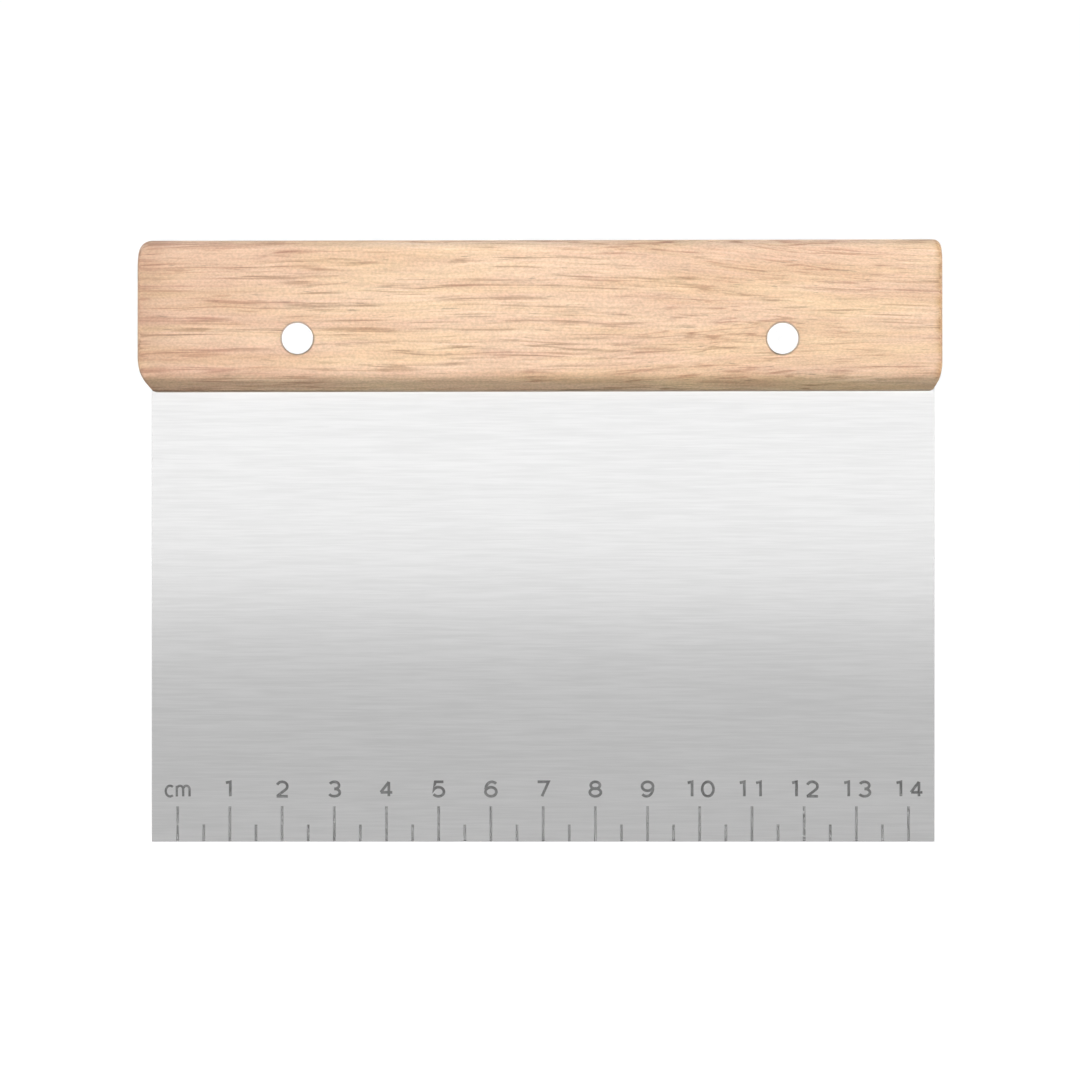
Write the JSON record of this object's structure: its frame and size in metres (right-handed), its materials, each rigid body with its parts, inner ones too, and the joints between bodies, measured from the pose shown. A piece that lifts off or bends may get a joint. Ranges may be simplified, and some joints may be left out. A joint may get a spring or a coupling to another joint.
{
  "type": "bench scraper",
  "caption": "Dough scraper: a flat steel blade with an etched centimetre scale, held in a slotted wooden handle by flush rivets.",
  "frame": {"origin": "under the middle of the handle, level with the blade's working edge", "axes": "+X along the handle and the working edge, in the direction in which the scale counts up; +Y through the thickness, away from the scale; +Z from the working edge up to the handle"},
  "size_m": [0.1528, 0.018, 0.115],
  "materials": {
    "handle_wood": "sanded and oiled pale hardwood, long straight grain along the handle",
    "blade_steel": "fine brushing along the blade's width, scale etched darker",
    "rivet_metal": "polished rivet heads, flush with the wood"
  },
  "bodies": {
    "root": {"handle": "handle_wood", "blade": "blade_steel", "left_rivet_barrel": "rivet_metal", "left_rivet_pin": "rivet_metal", "right_rivet_barrel": "rivet_metal", "right_rivet_pin": "rivet_metal"}
  },
  "joints": []
}
